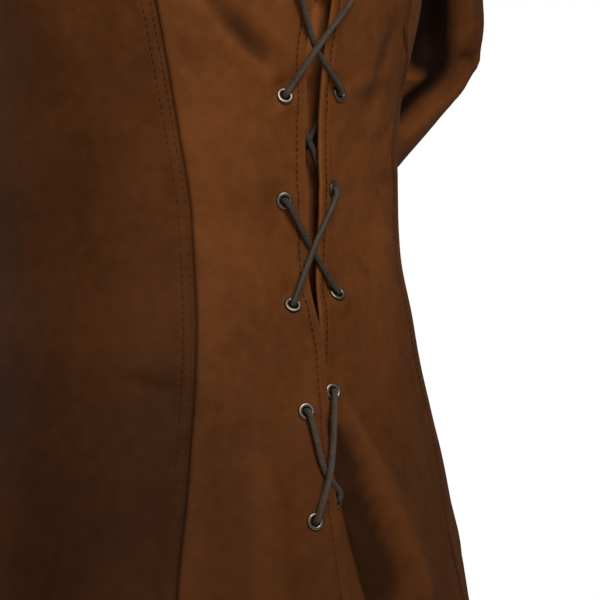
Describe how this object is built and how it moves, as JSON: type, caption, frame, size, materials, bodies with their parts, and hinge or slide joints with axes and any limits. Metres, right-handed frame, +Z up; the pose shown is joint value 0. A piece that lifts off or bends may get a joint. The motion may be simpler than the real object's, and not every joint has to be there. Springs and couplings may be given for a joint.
{
  "type": "hooded tunic",
  "caption": "Worn, hollow hooded tunic in brown leather: flared skirt, side seams, laced slits at both sides of the back over suede strips, set-in sleeves, hood",
  "frame": {"origin": "on the axis of the body at the base of the neck, where the tunic hangs from the wearer's shoulders", "axes": "+Z is up, the wearer faces -Y and the wearer's left is +X"},
  "size_m": [0.6388, 0.552, 1.1784],
  "materials": {
    "leather": "smooth semi-matte garment leather with a fine grain",
    "suede": "flesh side of the leather, a matte short nap",
    "lace": "round leather lace, dry and dull",
    "nickel": "aged nickel, darkened in the hollows"
  },
  "bodies": {
    "root": {"front": "leather", "side_back_left": "leather", "back_left": "leather", "sleeve_left": "leather", "hood_left": "leather", "underlay_left": "suede", "lace_left": "lace", "eyelet_left_side_1": "nickel", "eyelet_left_back_1": "nickel", "eyelet_left_side_2": "nickel", "eyelet_left_back_2": "nickel", "eyelet_left_side_3": "nickel", "eyelet_left_back_3": "nickel", "eyelet_left_side_4": "nickel", "eyelet_left_back_4": "nickel", "eyelet_left_side_5": "nickel", "eyelet_left_back_5": "nickel", "eyelet_left_side_6": "nickel", "eyelet_left_back_6": "nickel", "side_back_right": "leather", "back_right": "leather", "sleeve_right": "leather", "hood_right": "leather", "underlay_right": "suede", "lace_right": "lace", "eyelet_right_side_1": "nickel", "eyelet_right_back_1": "nickel", "eyelet_right_side_2": "nickel", "eyelet_right_back_2": "nickel", "eyelet_right_side_3": "nickel", "eyelet_right_back_3": "nickel", "eyelet_right_side_4": "nickel", "eyelet_right_back_4": "nickel", "eyelet_right_side_5": "nickel", "eyelet_right_back_5": "nickel", "eyelet_right_side_6": "nickel", "eyelet_right_back_6": "nickel"}
  },
  "joints": []
}
